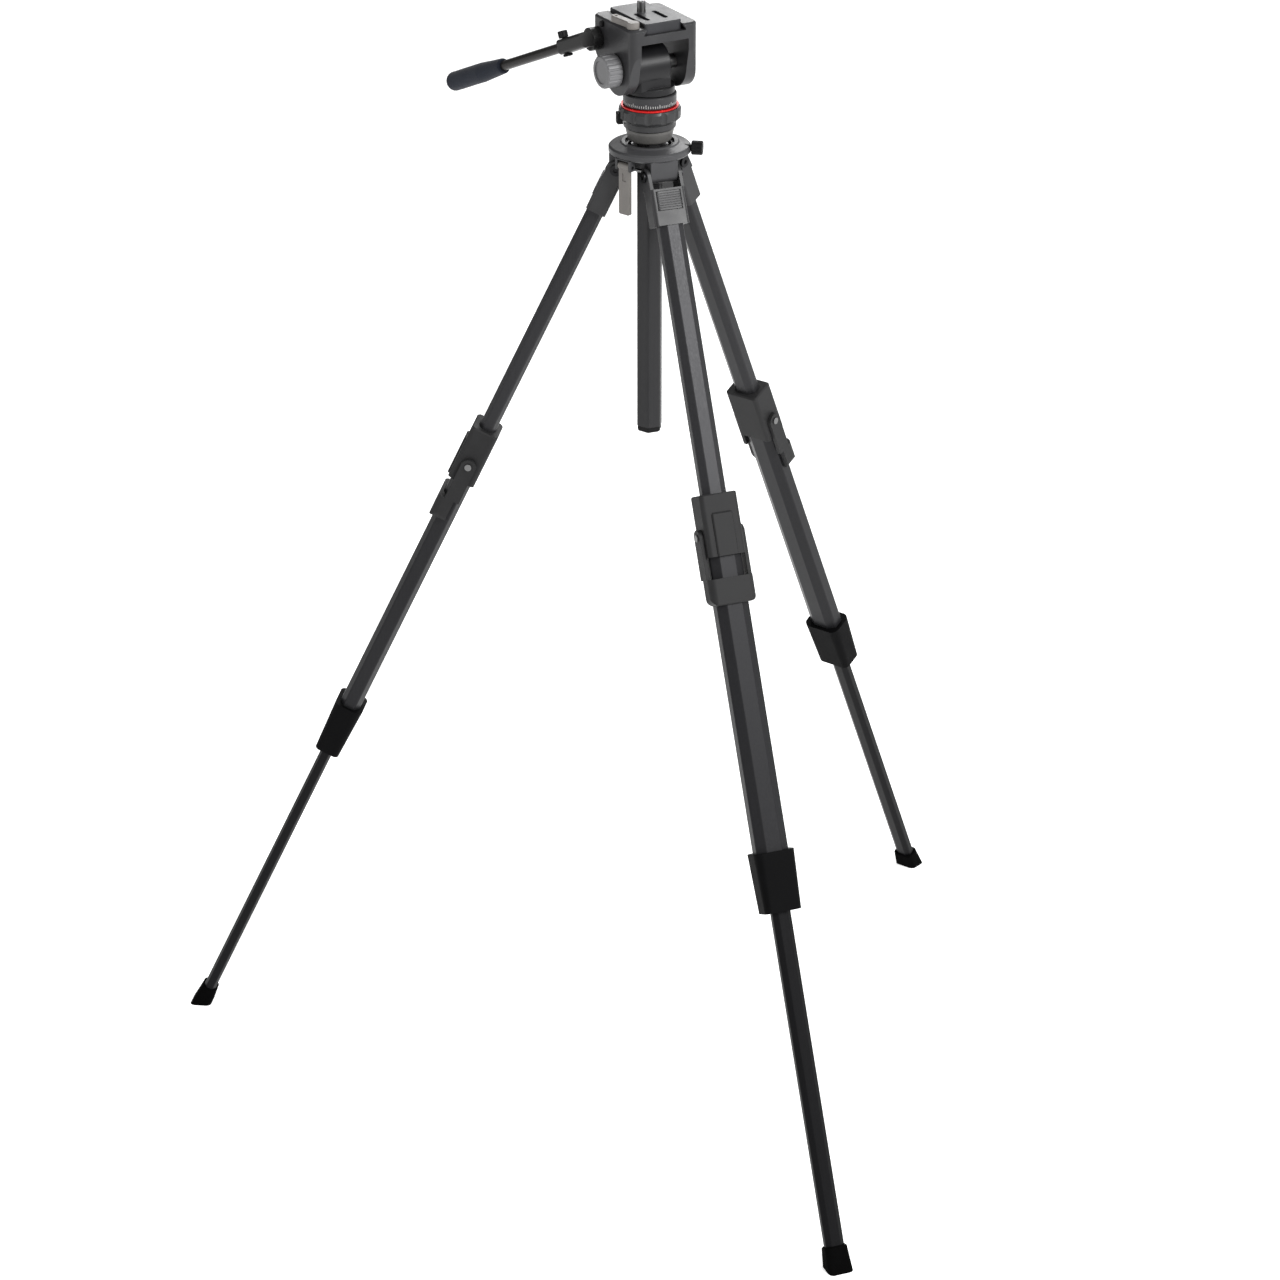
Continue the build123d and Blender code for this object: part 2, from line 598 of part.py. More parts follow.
def foot():
    """Rubber foot, cut flat where it stands on the floor."""
    top = leg_length - FOOT_HEIGHT
    width, depth = (size + 2 * FOOT_WALL for size in LOWER_SECTION)
    wide, deep = width + FOOT_SPREAD[0], depth + FOOT_SPREAD[1]
    low = leg_length + deep / 2
    body = loft([Pos(0, 0, -low) * RectangleRounded(deep, wide, FOOT_ROUNDING),
                 Pos(0, 0, -top) * RectangleRounded(depth, width, FOOT_ROUNDING)])
    body = chamfer(body.faces().sort_by(Axis.Z)[-1].edges(), FOOT_BREAK)
    floor = Pos(0, 0, -leg_length) * Rot(0, LEG_SPREAD, 0) * block(-FAR, FAR, -FAR, FAR, -FAR, 0)
    body -= floor
    return body - prism(section(LOWER_SECTION), top - PAST, lower_bottom)


LEG_PARTS = {
    "bracket": leg_bracket,
    "angle_tab": angle_tab,
    "upper_tube": upper_tube,
    "clamp_body": clamp_body,
    "clamp_pins": clamp_pins,
    "clamp_lever": clamp_lever,
    "mid_tube": mid_tube,
    "lower_collar": lower_collar,
    "lower_tube": lower_tube,
    "foot": foot,
}


def legs():
    nodes = {}
    for part_name, make in LEG_PARTS.items():
        piece = make()
        for leg_name, azimuth in LEG_AZIMUTHS.items():
            place = radial(azimuth, pivot_height) * Pos(pivot_radius, 0, 0) * Rot(0, -LEG_SPREAD, 0)
            nodes[f"{leg_name}_leg_{part_name}"] = place * piece
    return nodes


# ---------------------------------------------------------------- hub, about the column axis
def hub_disc():
    rim, crown = hub_radius, crown_radius
    edge = HUB_THICKNESS - HUB_EDGE
    disc = lathe([(0, 0), (rim - HUB_UNDERCUT, 0), (rim, HUB_UNDERCUT), (rim, edge - HUB_UNDERCUT),
                  (rim - HUB_UNDERCUT, edge), (crown, HUB_THICKNESS - HUB_CROWN_BREAK),
                  (crown - HUB_CROWN_BREAK, HUB_THICKNESS), (0, HUB_THICKNESS)])
    return disc + rod(boss_radius, -HUB_BOSS_DEPTH, PAST)


def hub_tongue():
    """Block under the disc that a leg bracket's cheeks turn on."""
    height = PIVOT_DROP + PAST
    side = Circle(TONGUE_RADIUS)
    side += Pos(0, height / 2) * Rectangle(2 * TONGUE_RADIUS, height)
    tongue = extrude(Plane.XZ * side, tongue_width / 2, both=True)
    tongue -= along_y(rod(PIVOT_BOLT_RADIUS, -tongue_width, tongue_width))
    return Pos(pivot_radius, 0, -PIVOT_DROP) * tongue


def level_ears():
    """Pair of ears that hold the levelling lever's pin."""
    drop = LEVEL_LEVER_PIN_DROP + LEVEL_LEVER_BARREL
    inner = LEVEL_LEVER_WIDTH / 2 + GAP
    outer = inner + LEVEL_EAR
    x0, x1 = level_lever_orbit - LEVEL_LEVER_BARREL, level_lever_orbit + LEVEL_LEVER_BARREL
    ears = block(x0, x1, -outer, outer, -drop, PAST)
    ears -= block(x0 - PAST, x1 + PAST, -inner, inner, -drop - PAST, 0)
    return ears - Pos(level_lever_orbit, 0, -LEVEL_LEVER_PIN_DROP) * along_y(rod(LEVEL_LEVER_PIN, -FAR, FAR))


def hub_casting():
    hub = hub_disc()
    for azimuth in LEG_AZIMUTHS.values():
        hub += Rot(0, 0, azimuth) * hub_tongue()
    hub += Rot(0, 0, LEVEL_LEVER_AZIMUTH) * level_ears()
    hub -= Pos(0, 0, -BALL_DROP) * Sphere(ball_seat)
    hub -= rod(ball_seat, -BALL_DROP, HUB_THICKNESS + PAST)
    hub -= rod(dish_radius, HUB_THICKNESS - HUB_DISH_DEPTH, HUB_THICKNESS + PAST)
    knob_bore = along_x(rod(KNOB_SHAFT + RUN, hub_radius - KNOB_SOCKET, hub_radius + PAST))
    hub -= Rot(0, 0, KNOB_AZIMUTH) * Pos(0, 0, KNOB_HEIGHT) * knob_bore
    vial_bore = rod(BUBBLE_RADIUS, HUB_THICKNESS - BUBBLE_DEPTH, HUB_THICKNESS + PAST)
    hub -= Rot(0, 0, BUBBLE_AZIMUTH) * Pos(bubble_orbit, 0, 0) * vial_bore
    return radial(0, disc_under) * hub


def hub_fasteners():
    """Three leg pivot bolts and the levelling lever's pin."""
    outer = bracket_width / 2 + GAP
    bolt = rod(PIVOT_BOLT_RADIUS, -outer, outer)
    for side in (-1, 1):
        head = rod(BOLT_HEAD_RADIUS, 0, BOLT_HEAD)
        head -= Pos(0, 0, BOLT_HEAD) * extrude(RegularPolygon(BOLT_SOCKET_RADIUS, 6), BOLT_SOCKET, both=True)
        bolt += Rot(90 - 90 * side, 0, 0) * Pos(0, 0, outer) * head
    bolts = [radial(azimuth, pivot_height) * Pos(pivot_radius, 0, 0) * along_y(bolt)
             for azimuth in LEG_AZIMUTHS.values()]
    reach = LEVEL_LEVER_WIDTH / 2 + GAP + LEVEL_EAR
    pin = radial(LEVEL_LEVER_AZIMUTH, disc_under - LEVEL_LEVER_PIN_DROP)
    pin = pin * Pos(level_lever_orbit, 0, 0) * along_y(rod(LEVEL_LEVER_PIN, -reach, reach))
    return Compound(children=bolts + [pin])


def bubble_level():
    vial = rod(BUBBLE_RADIUS, HUB_THICKNESS - BUBBLE_DEPTH, HUB_THICKNESS + BUBBLE_PROUD)
    vial = fillet(vial.faces().sort_by(Axis.Z)[-1].edges(), BUBBLE_ROUNDING)
    return radial(BUBBLE_AZIMUTH, disc_under) * Pos(bubble_orbit, 0, 0) * vial


def column_lock_knob():
    face = hub_radius + KNOB_STANDOFF
    knob = Pos(0, 0, face) * fluted_knob(KNOB_RADIUS, KNOB_LENGTH, KNOB_FLUTES, KNOB_FLUTE_RADIUS)
    knob += rod(KNOB_SHAFT, hub_radius - KNOB_SOCKET + GAP, face + PAST)
    return radial(KNOB_AZIMUTH, disc_under + KNOB_HEIGHT) * along_x(knob)


def level_lever():
    """Flat hanging lever that frees and locks the levelling ball."""
    half, thick = LEVEL_LEVER_WIDTH / 2, LEVEL_LEVER_THICKNESS / 2
    blade = block(-thick, thick, -half, half, -LEVEL_LEVER_LENGTH, 0)
    blade = fillet(blade.faces().sort_by(Axis.Z)[0].edges().filter_by(Axis.X), LEVEL_LEVER_CORNER)
    blade += along_y(rod(LEVEL_LEVER_BARREL, -half, half))
    blade -= along_y(rod(LEVEL_LEVER_PIN + RUN, -half - PAST, half + PAST))
    height, width, depth = LEVEL_LEVER_RECESS
    blade -= Pos(thick, 0, -LEVEL_LEVER_RECESS_DROP) * Box(2 * depth, width, height)
    place = radial(LEVEL_LEVER_AZIMUTH, disc_under - LEVEL_LEVER_PIN_DROP)
    return place * Pos(level_lever_orbit, 0, 0) * blade


# ---------------------------------------------------------------- levelling ball and column
def column_outline(grow=0.0):
    outline = RegularPolygon(COLUMN_WIDTH / 2, 6, major_radius=False)
    outline = fillet(outline.vertices(), COLUMN_ROUNDING)
    if grow:
        outline = offset(outline, amount=grow)
    return outline


def level_ball():
    ball = Sphere(ball_radius) & block(-FAR, FAR, -FAR, FAR, -BALL_BOTTOM, BALL_TOP)
    ball -= Pos(0, 0, -ball_radius) * extrude(column_outline(SLIDE), 2 * ball_radius)
    return radial(0, ball_height) * ball


def level_clamp_ring():
    """Ring that draws the ball down into its seat."""
    slab = block(-FAR, FAR, -FAR, FAR, -CLAMP_RING_BOTTOM, -CLAMP_RING_TOP)
    ring = Sphere(ball_seat + CLAMP_RING_WALL) & slab
    return radial(0, ball_height) * (ring - Sphere(ball_seat))


def center_column():
    top = bowl_bottom + COLUMN_SOCKET
    column = extrude(column_outline(), COLUMN_LENGTH)
    column -= extrude(column_outline(-COLUMN_WALL), COLUMN_LENGTH)
    return radial(0, top - COLUMN_LENGTH) * column


def column_end_cap():
    bottom = bowl_bottom + COLUMN_SOCKET - COLUMN_LENGTH
    cap = Pos(0, 0, -END_CAP_HEIGHT) * extrude(column_outline(-END_CAP_LIP), END_CAP_HEIGHT)
    cap = chamfer(cap.faces().sort_by(Axis.Z)[0].edges(), END_CAP_BREAK)
    cap += extrude(column_outline(-COLUMN_WALL), END_CAP_PLUG)
    return radial(0, bottom) * cap


def column_bowl():
    top, bottom = bowl_top_radius, bowl_bottom_radius
    bowl = lathe([(0, 0), (bottom - BOWL_BREAK, 0), (bottom, BOWL_BREAK), (top, BOWL_HEIGHT - BOWL_RIM),
                  (top, BOWL_HEIGHT), (0, BOWL_HEIGHT)])
    bowl -= Pos(0, 0, -PAST) * extrude(column_outline(), COLUMN_SOCKET + PAST)
    return radial(0, bowl_bottom) * bowl


# ---------------------------------------------------------------- quick-release base and neck
def qr_base():
    base = rod(core_radius, 0, QR_HEIGHT + SLIDE)
    base -= rod(QR_BORE, QR_HEIGHT - NECK_STUD_LENGTH, QR_HEIGHT + PAST)
    return radial(0, bowl_top) * base


def button_space(grow=0.0, reach=0.0):
    """Release button's body, with X away from the column and Z up from the ring's lower face."""
    outer = ring_rim + BUTTON_PROUD
    middle = QR_HEIGHT / 2
    half = BUTTON_WIDTH / 2 + grow
    tall = BUTTON_HEIGHT / 2 + grow
    return block(outer - BUTTON_DEPTH - reach, outer, -half, half, middle - tall, middle + tall)


def qr_lock_ring():
    foot, rim = ring_foot, ring_rim
    inner = core_radius + SLIDE
    cut = LOCK_RING_BREAK
    ring = lathe([(inner, GAP), (foot - cut, GAP), (foot, GAP + cut), (foot, LOCK_RING_WAIST),
                  (rim, LOCK_RING_WAIST + LOCK_RING_RISE), (rim, QR_HEIGHT - 2 * cut), (rim - cut, QR_HEIGHT),
                  (inner, QR_HEIGHT)])
    cutter = rod(SCALLOP_RADIUS, LOCK_RING_WAIST, QR_HEIGHT + PAST)
    for step in range(SCALLOP_COUNT):
        turn = Rot(0, 0, BUTTON_AZIMUTH + 360 * (step + 0.5) / SCALLOP_COUNT)
        ring -= turn * Pos(rim + SCALLOP_RADIUS - SCALLOP_DEPTH, 0, 0) * cutter
    ring -= Rot(0, 0, BUTTON_AZIMUTH) * button_space(SLIDE, BUTTON_TRAVEL + GAP)
    return radial(0, bowl_top) * ring


def qr_release_button():
    button = button_space()
    button = fillet(button.faces().sort_by(Axis.X)[-1].edges(), BUTTON_ROUNDING)
    return radial(BUTTON_AZIMUTH, bowl_top) * button


def qr_red_ring():
    ring = rod(red_ring_radius, 0, RED_RING_HEIGHT)
    ring -= rod(QR_BORE + RED_RING_WALL, -PAST, RED_RING_HEIGHT + PAST)
    return radial(0, qr_top) * ring


def head_neck():
    face = NECK_DIAMETER / 2
    neck = rod(face, 0, NECK_HEIGHT)
    neck = chamfer(neck.edges().filter_by(GeomType.CIRCLE), NECK_BEVEL)
    neck += rod(QR_BORE - NECK_STUD_GAP, RED_RING_HEIGHT - NECK_STUD_LENGTH, PAST)
    neck -= rod(PAN_PIN_RADIUS + RUN, NECK_HEIGHT - PAN_PIN_DEPTH - GAP, NECK_HEIGHT + PAST)
    knob_bore = along_x(rod(PAN_KNOB_SHAFT + RUN, face - PAN_KNOB_SOCKET, face + PAST))
    neck -= Rot(0, 0, PAN_KNOB_AZIMUTH) * Pos(0, 0, NECK_HEIGHT / 2) * knob_bore
    return radial(0, neck_bottom) * neck


def pan_lock_knob():
    face = NECK_DIAMETER / 2
    start = face + PAN_KNOB_STANDOFF
    knob = fluted_knob(PAN_KNOB_RADIUS, PAN_KNOB_LENGTH, PAN_KNOB_FLUTES, SMALL_FLUTE_RADIUS)
    knob = Pos(0, 0, start) * knob
    knob += rod(PAN_KNOB_SHAFT, face - PAN_KNOB_SOCKET + GAP, start + PAST)
    return radial(PAN_KNOB_AZIMUTH, neck_bottom + NECK_HEIGHT / 2) * along_x(knob)


# ---------------------------------------------------------------- fluid head, about its tilt axis
def head_body():
    """Housing that pans on the neck and holds the tilt shaft in its drum."""
    floor = GAP - tilt_axis_height
    post_bottom = floor + PEDESTAL_HEIGHT - PEDESTAL_BREAK - PAST
    body = rod(pedestal_radius, floor, floor + PEDESTAL_HEIGHT)
    body = chamfer(body.edges().filter_by(GeomType.CIRCLE), PEDESTAL_BREAK)
    post = block(-PEDESTAL_BLOCK / 2, PEDESTAL_BLOCK / 2, -drum_right, drum_left, post_bottom, 0)
    post &= rod(pedestal_radius + PEDESTAL_BLOCK_OVERHANG, floor, PAST)
    body += post
    drum = along_y(rod(DRUM_RADIUS, -drum_right, drum_left))
    body += chamfer(drum.edges().filter_by(GeomType.CIRCLE), DRUM_BREAK)
    body += rod(PAN_PIN_RADIUS, floor - GAP - PAN_PIN_DEPTH, floor + PAST)
    return HEAD * (body - along_y(rod(TILT_SHAFT_RADIUS + RUN, -FAR, FAR)))


def tilt_shaft():
    reach = cradle_half - SHAFT_END_WALL
    return HEAD * along_y(rod(TILT_SHAFT_RADIUS, -reach, reach))


def cradle_wall():
    """Side wall of the cradle: a round lobe on the tilt axis that widens up to the platform."""
    back_share, front_share = CRADLE_LOBE_BACK, CRADLE_LOBE_FRONT
    top = platform_under + PAST
    outline = Polygon((-CRADLE_BACK, top), (-CRADLE_BACK, CRADLE_BACK_DROP),
                      (-cradle_lobe * back_share[0], -cradle_lobe * back_share[1]),
                      (cradle_lobe * front_share[0], -cradle_lobe * front_share[1]),
                      (CRADLE_FRONT, CRADLE_FRONT_DROP), (CRADLE_FRONT, top), align=None)
    outline += Circle(cradle_lobe)
    return extrude(Plane.XZ * outline, -CRADLE_WALL)


def tilt_cradle():
    middle = (CRADLE_FRONT - CRADLE_BACK) / 2
    platform = RectangleRounded(CRADLE_FRONT + CRADLE_BACK, 2 * cradle_half, PLATFORM_CORNER)
    cradle = Pos(middle, 0, platform_under) * extrude(platform, PLATFORM_THICKNESS + RAIL_HEIGHT)
    cradle = chamfer(cradle.faces().sort_by(Axis.Z)[-1].edges(), RAIL_BEVEL)
    for start in (-cradle_half, cradle_inner):
        cradle += Pos(0, start, 0) * cradle_wall()
    cradle &= Pos(middle, 0, -cradle_lobe) * extrude(platform, FAR)
    cradle -= Pos(-FAR, 0, 0) * plate_prism(2 * FAR, SLIDE)
    reach = cradle_half - SHAFT_END_WALL
    cradle -= along_y(rod(TILT_SHAFT_RADIUS, -reach, reach))
    button = Pos(SAFETY_BUTTON_PLACE, -cradle_half, channel_floor + SAFETY_BUTTON_RISE)
    button_depth = SAFETY_BUTTON_DEPTH + SAFETY_BUTTON_TRAVEL + GAP
    cradle -= button * along_y(rod(SAFETY_BUTTON_RADIUS + SLIDE, -PAST, button_depth))
    pivot = Pos(LOCK_LEVER_PLACE, lock_lever_y, rail_top)
    return HEAD * (cradle - pivot * rod(LOCK_LEVER_PIN + RUN, -LOCK_LEVER_PIN_DEPTH - GAP, PAST))


def plate_prism(length, grow=0.0):
    """Dovetailed bar of the camera plate's section, along X."""
    low, high = PLATE_HALF_WIDTH + grow, plate_top_half + grow
    z0, z1, z2 = plate_bottom - grow, plate_bottom + PLATE_DOVETAIL, plate_top + grow
    edge = z0 + PLATE_EDGE
    outline = Polygon((-low, z0), (low, z0), (low, edge), (high, z1), (high, z2), (-high, z2), (-high, z1),
                      (-low, edge), align=None)
    return extrude(Plane.YZ * outline, length)


def camera_plate():
    plate = Pos(PLATE_MIDDLE - PLATE_LENGTH / 2, 0, 0) * plate_prism(PLATE_LENGTH)
    outline = RectangleRounded(PLATE_LENGTH, 2 * PLATE_HALF_WIDTH, PLATE_CORNER)
    plate &= Pos(PLATE_MIDDLE, 0, plate_bottom - PAST) * extrude(outline, PLATE_HEIGHT + 2 * PAST)
    plate = chamfer(plate.faces().sort_by(Axis.Z)[-1].edges(), PLATE_BREAK)
    screw = Pos(SCREW_PLACE, 0, 0)
    plate -= screw * rod(SCREW_RADIUS + RUN, plate_bottom - PAST, plate_top + PAST)
    recess_top = plate_bottom + SCREW_HEAD + 2 * SLIDE
    plate -= screw * rod(SCREW_HEAD_RADIUS + SLIDE, plate_bottom - PAST, recess_top)
    groove = extrude(SlotOverall(PLATE_SLOT_LENGTH, PLATE_SLOT), PLATE_SLOT_DEPTH + PAST)
    x, z = PLATE_MIDDLE + PLATE_SLOT_PLACE, plate_top - PLATE_SLOT_DEPTH
    for side in (-1, 1):
        plate -= Pos(x, side * plate_top_half / 2, z) * groove
    return HEAD * plate


def camera_screw():
    """Captive screw: its neck is thinner than its thread, so that it stays in the plate."""
    head_bottom = plate_bottom + SLIDE
    screw = rod(SCREW_RADIUS, plate_top, plate_top + SCREW_LENGTH)
    screw = chamfer(screw.faces().sort_by(Axis.Z)[-1].edges(), SCREW_TIP_BEVEL)
    screw += rod(screw_neck, head_bottom, plate_top)
    head = rod(SCREW_HEAD_RADIUS, head_bottom, head_bottom + SCREW_HEAD)
    head -= Pos(0, 0, head_bottom) * Box(2 * SCREW_HEAD_RADIUS + PAST, SCREW_DRIVE[0], 2 * SCREW_DRIVE[1])
    return HEAD * Pos(SCREW_PLACE, 0, 0) * (screw + head)


def plate_lock_lever():
    """Flat lever on the platform's right-hand edge that clamps the plate."""
    end = LOCK_LEVER_WIDTH * LEVER_END_SHARE
    tail = Pos(-LOCK_LEVER_TAIL / 2, 0) * RectangleRounded(LOCK_LEVER_TAIL, LOCK_LEVER_WIDTH, end)
    hole = Pos(LOCK_LEVER_HOLE_INSET - LOCK_LEVER_TAIL, 0) * Circle(LOCK_LEVER_HOLE)
    lever = extrude(Circle(LOCK_LEVER_BOSS) + tail - hole, LOCK_LEVER_THICKNESS)
    lever = chamfer(lever.faces().sort_by(Axis.Z)[-1].outer_wire().edges(), LEVER_EDGE_BREAK)
    lever += rod(LOCK_LEVER_PIN, -LOCK_LEVER_PIN_DEPTH - SLIDE, PAST)
    return HEAD * Pos(LOCK_LEVER_PLACE, lock_lever_y, rail_top + SLIDE) * Rot(0, 0, LOCK_LEVER_BEND) * lever


def plate_safety_button():
    button = rod(SAFETY_BUTTON_RADIUS, -SAFETY_BUTTON_PROUD, SAFETY_BUTTON_DEPTH)
    button = fillet(button.faces().sort_by(Axis.Z)[0].edges(), SAFETY_BUTTON_ROUNDING)
    place = Pos(SAFETY_BUTTON_PLACE, -cradle_half, channel_floor + SAFETY_BUTTON_RISE)
    return HEAD * place * along_y(button)


def tilt_knob():
    knob = fluted_knob(TILT_KNOB_RADIUS, TILT_KNOB_LENGTH, TILT_KNOB_FLUTES, TILT_KNOB_FLUTE_RADIUS,
                       TILT_KNOB_BREAK)
    dish = TILT_KNOB_LENGTH - TILT_KNOB_DISH
    knob -= rod(TILT_KNOB_RADIUS - TILT_KNOB_RIM, dish, TILT_KNOB_LENGTH + PAST)
    return HEAD * Pos(0, -cradle_half - GAP, 0) * Rot(90, 0, 0) * knob


def tilt_lock_lever():
    """Lever on the operator's left that locks the tilt."""
    end = TILT_LEVER_WIDTH * LEVER_END_SHARE
    arm = Pos(TILT_LEVER_LENGTH / 2, 0) * RectangleRounded(TILT_LEVER_LENGTH, TILT_LEVER_WIDTH, end)
    lever = extrude(Circle(TILT_LEVER_BOSS) + arm, TILT_LEVER_THICKNESS)
    lever = chamfer(lever.faces().sort_by(Axis.Z)[-1].edges(), LEVER_EDGE_BREAK)
    lever = Rot(-90, 0, 0) * Rot(0, 0, -TILT_LEVER_REST) * lever
    return HEAD * Pos(0, cradle_half + GAP, 0) * lever


# ---------------------------------------------------------------- pan bar, along X from the rosette
def bar_frame():
    x, z = ROSETTE_PLACE
    return HEAD * Pos(x, -cradle_half - BAR_OFFSET, z) * Rot(0, 0, 180 + BAR_YAW) * Rot(0, BAR_DROP, 0)


def pan_bar_bracket():
    """Rosette against the cradle's side, with the block that clamps the bar."""
    x, z = ROSETTE_PLACE
    rosette = rod(ROSETTE_RADIUS, 0, ROSETTE_DEPTH)
    rosette = chamfer(rosette.edges().filter_by(GeomType.CIRCLE), ROSETTE_BREAK)
    for turn in PolarLocations(ROSETTE_RADIUS, ROSETTE_TEETH):
        rosette -= turn * Rot(0, 0, 45) * Box(ROSETTE_TOOTH, ROSETTE_TOOTH, ROSETTE_DEPTH)
    rosette = HEAD * Pos(x, -cradle_half - GAP, z) * Rot(90, 0, 0) * rosette
    side = BAR_BLOCK / 2
    wide = bar_knob_y + BAR_KNOB_SHAFT + BAR_BLOCK_WALL
    body = block(-BAR_BLOCK_BACK, BAR_BLOCK_LENGTH, -side, wide, -side, side)
    body = fillet(body.edges().filter_by(Axis.X), BAR_BLOCK_ROUNDING)
    body -= Pos(BAR_KNOB_PLACE, bar_knob_y, 0) * rod(BAR_KNOB_SHAFT + RUN, -side - PAST, side + PAST)
    bore = along_x(rod(BAR_RADIUS, BAR_START, BAR_BLOCK_LENGTH + PAST))
    return rosette + bar_frame() * body - bar_frame() * bore


def pan_bar_clamp_knob():
    face = BAR_BLOCK / 2 + GAP
    knob = fluted_knob(BAR_KNOB_RADIUS, BAR_KNOB_LENGTH, BAR_KNOB_FLUTES, SMALL_FLUTE_RADIUS)
    knob = Pos(0, 0, face) * knob
    knob += rod(BAR_KNOB_SHAFT, -face - PAST, face + PAST)
    foot = fluted_knob(BAR_KNOB_RADIUS, BAR_KNOB_FOOT, BAR_KNOB_FLUTES, SMALL_FLUTE_RADIUS)
    knob += Pos(0, 0, -face - BAR_KNOB_FOOT) * foot
    return bar_frame() * Pos(BAR_KNOB_PLACE, bar_knob_y, 0) * knob


def pan_bar_tube():
    return bar_frame() * along_x(rod(BAR_RADIUS, BAR_START, BAR_END))


def pan_bar_grip():
    """Foam grip, thicker towards its rounded end."""
    neck, full = BAR_RADIUS + GRIP_NECK_WALL, BAR_RADIUS + GRIP_WALL
    grip = lathe([(0, grip_start), (neck - GRIP_LIP[0], grip_start), (neck, grip_start + GRIP_LIP[1]),
                  (full, grip_start + GRIP_TAPER), (full, grip_end), (0, grip_end)])
    grip = fillet(grip.faces().sort_by(Axis.Z)[-1].edges(), GRIP_NOSE)
    return bar_frame() * along_x(grip - rod(BAR_RADIUS, grip_start - PAST, BAR_END))


SINGLE_PARTS = [
    hub_casting, hub_fasteners, bubble_level, column_lock_knob, level_lever, level_clamp_ring, level_ball,
    center_column, column_end_cap, column_bowl, qr_base, qr_lock_ring, qr_red_ring, qr_release_button,
    head_neck, pan_lock_knob, head_body, tilt_shaft, tilt_cradle, tilt_knob, tilt_lock_lever,
    camera_plate, camera_screw, plate_lock_lever, plate_safety_button,
    pan_bar_bracket, pan_bar_clamp_knob, pan_bar_tube, pan_bar_grip,
]


def main():
    os.makedirs("parts", exist_ok=True)
    nodes = legs()
    for make in SINGLE_PARTS:
        nodes[make.__name__] = make()
    for name, shape in nodes.items():
        export_step(shape, f"parts/{name}.step")
    print(len(nodes), "nodes, pivots at", round(pivot_height, 1), "mm,",
          "feet on a circle of", round(foot_radius, 1))


main()
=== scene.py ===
import json
from math import cos, pi, radians, sin

import bpy
import numpy
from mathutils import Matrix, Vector, noise


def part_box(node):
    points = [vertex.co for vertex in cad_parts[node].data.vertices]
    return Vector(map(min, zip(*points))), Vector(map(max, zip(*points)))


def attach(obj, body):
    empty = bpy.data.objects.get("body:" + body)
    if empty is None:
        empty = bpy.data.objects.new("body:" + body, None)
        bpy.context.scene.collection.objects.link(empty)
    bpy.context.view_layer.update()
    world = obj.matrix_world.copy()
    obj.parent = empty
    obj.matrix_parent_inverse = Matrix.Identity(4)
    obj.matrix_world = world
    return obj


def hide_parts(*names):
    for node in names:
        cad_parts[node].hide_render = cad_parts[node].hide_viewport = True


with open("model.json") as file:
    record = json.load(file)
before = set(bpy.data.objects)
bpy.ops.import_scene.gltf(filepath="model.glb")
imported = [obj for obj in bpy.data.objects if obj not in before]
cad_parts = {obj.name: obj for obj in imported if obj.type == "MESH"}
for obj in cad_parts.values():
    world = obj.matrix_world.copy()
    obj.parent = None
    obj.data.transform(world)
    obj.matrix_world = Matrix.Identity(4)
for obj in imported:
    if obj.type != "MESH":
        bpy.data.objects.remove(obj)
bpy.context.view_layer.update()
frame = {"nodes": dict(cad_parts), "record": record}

# ---------------------------------------------------------------- camera
CAMERA_DISTANCE = 4.462       # level distance to the column axis
CAMERA_HEIGHT = 2.611
CAMERA_AZIMUTH = 247.9        # degrees, seen from the column
CAMERA_HEADING = -21.96       # degrees about Z, 0 looks along +Y
CAMERA_PITCH = 24.97          # degrees below level
CAMERA_LENS = 117.27          # mm
SENSOR_WIDTH = 36.0           # mm
VIEW_DEPTH = 50.0


def centre(node):
    low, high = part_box(node)
    return (Vector(low) + Vector(high)) / 2


column = centre("center_column")


def make_camera():
    data = bpy.data.cameras.new("camera")
    data.lens = CAMERA_LENS
    data.sensor_width = SENSOR_WIDTH
    data.clip_end = VIEW_DEPTH
    camera = bpy.data.objects.new("camera", data)
    bpy.context.collection.objects.link(camera)
    turn = radians(CAMERA_AZIMUTH)
    level = Vector((cos(turn), sin(turn), 0.0)) * CAMERA_DISTANCE
    camera.location = (column.x + level.x, column.y + level.y, CAMERA_HEIGHT)
    camera.rotation_euler = (radians(90 - CAMERA_PITCH), 0, radians(CAMERA_HEADING))
    bpy.context.scene.camera = camera


make_camera()


# ---------------------------------------------------------------- material building blocks
BEVEL_SAMPLES = 4
EDGE_DOT = (0.75, 0.99)       # rounded against true normal: from a worn edge to a flat face


